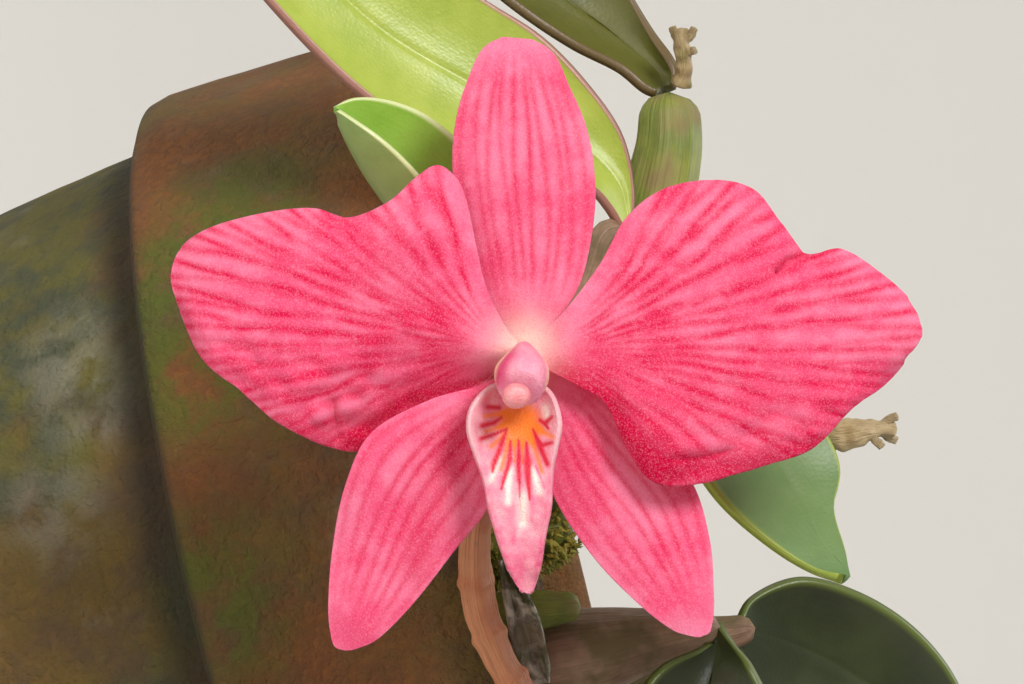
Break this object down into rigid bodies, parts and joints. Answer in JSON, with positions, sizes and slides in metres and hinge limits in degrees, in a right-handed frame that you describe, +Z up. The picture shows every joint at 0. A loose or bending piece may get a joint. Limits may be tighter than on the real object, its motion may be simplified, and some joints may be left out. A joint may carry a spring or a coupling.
{
  "type": "potted orchid in bloom",
  "caption": "Clay pot of bark mix with a creeping orchid, its bulbs and leaves, and an open pink flower held out over the rim.",
  "frame": {"origin": "centre of the pot's flat base, on the surface that it stands on", "axes": "+Z up along the pot's axis; the flower hangs out over the rim on the -Y side and faces -Y"},
  "size_m": [0.1619, 0.1671, 0.1887],
  "materials": {
    "clay": "unglazed fired clay with algae and lime stains",
    "bark": "bark chips with moss",
    "bulb_green": "waxy green pseudobulb skin",
    "bulb_papery": "dry papery sheaths over the bulb",
    "stem_brown": "brown jointed stem under thin dry sheaths",
    "root": "silvery root skin",
    "leaf_yellow": "thick waxy leaf, yellow green",
    "leaf_olive": "thick waxy leaf, olive green",
    "leaf_young": "young glossy leaf, bright green",
    "leaf_glaucous": "leaf with a grey bloom",
    "dried": "dried papery bracts",
    "petal": "sparkling matte petal with darker veins",
    "lip": "striped lip with an orange throat",
    "column": "waxy pink column",
    "anther": "waxy salmon cap"
  },
  "bodies": {
    "root": {"pot": "clay", "potting_mix": "bark", "bulb_oldest": "bulb_papery", "bulb_right": "bulb_papery", "bulb_back": "bulb_green", "bulb_middle": "bulb_papery", "bulb_papery": "bulb_papery", "bulb_mossy": "bulb_green", "bulb_young": "bulb_green", "bulb_front": "bulb_green", "bulb_tall": "bulb_green", "bulb_sheathed": "bulb_papery", "bulb_left": "bulb_green", "rhizome": "stem_brown", "root_1": "root", "root_2": "root", "flowering_stem": "stem_brown", "leaf_broad": "leaf_yellow", "leaf_olive": "leaf_olive", "leaf_young": "leaf_young", "leaf_glaucous": "leaf_glaucous", "leaf_dark": "leaf_olive", "leaf_low": "leaf_olive", "leaf_right": "leaf_olive", "leaf_oldest": "leaf_olive", "leaf_back": "leaf_olive", "dried_stalk_left": "dried", "dried_stalk_right": "dried", "stem_sheath": "dried", "dorsal_sepal": "petal", "lateral_sepal_left": "petal", "lateral_sepal_right": "petal", "petal_left": "petal", "petal_right": "petal", "lip": "lip", "column": "column", "anther_cap": "anther", "ovary": "stem_brown"}
  },
  "joints": []
}
